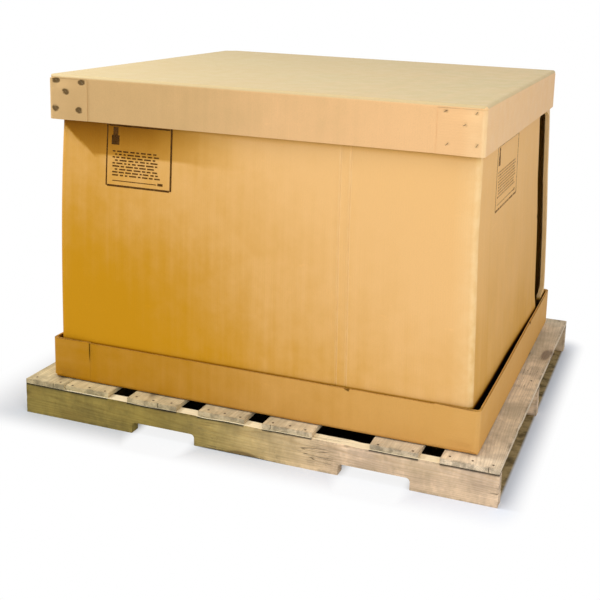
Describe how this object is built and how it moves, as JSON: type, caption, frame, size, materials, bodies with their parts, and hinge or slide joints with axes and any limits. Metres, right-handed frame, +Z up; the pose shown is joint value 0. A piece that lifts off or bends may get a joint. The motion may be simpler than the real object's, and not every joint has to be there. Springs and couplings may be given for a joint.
{
  "type": "corrugated pallet box on a wooden pallet",
  "caption": "Heavy corrugated pallet box on a wooden pallet: a folded base tray, a standing sleeve with an open side joint, and a folded lid cap with lapped corner flaps.",
  "frame": {"origin": "centre of the pallet's footprint on the floor", "axes": "+X to the right along the stringers, +Y to the back along the deck boards, +Z up; the long printed side of the box faces -Y"},
  "size_m": [1.626, 1.397, 1.157],
  "materials": {
    "lid_board": "matte",
    "sleeve_board": "matte",
    "tray_board": "matte",
    "deck_wood": "matte",
    "stringer_wood": "matte"
  },
  "bodies": {
    "root": {"stringer_front": "stringer_wood", "stringer_middle": "stringer_wood", "stringer_back": "stringer_wood", "top_board_1": "deck_wood", "top_board_2": "deck_wood", "top_board_3": "deck_wood", "top_board_4": "deck_wood", "top_board_5": "deck_wood", "top_board_6": "deck_wood", "top_board_7": "deck_wood", "base_tray": "tray_board", "sleeve": "sleeve_board", "lid_cap": "lid_board"}
  },
  "joints": []
}
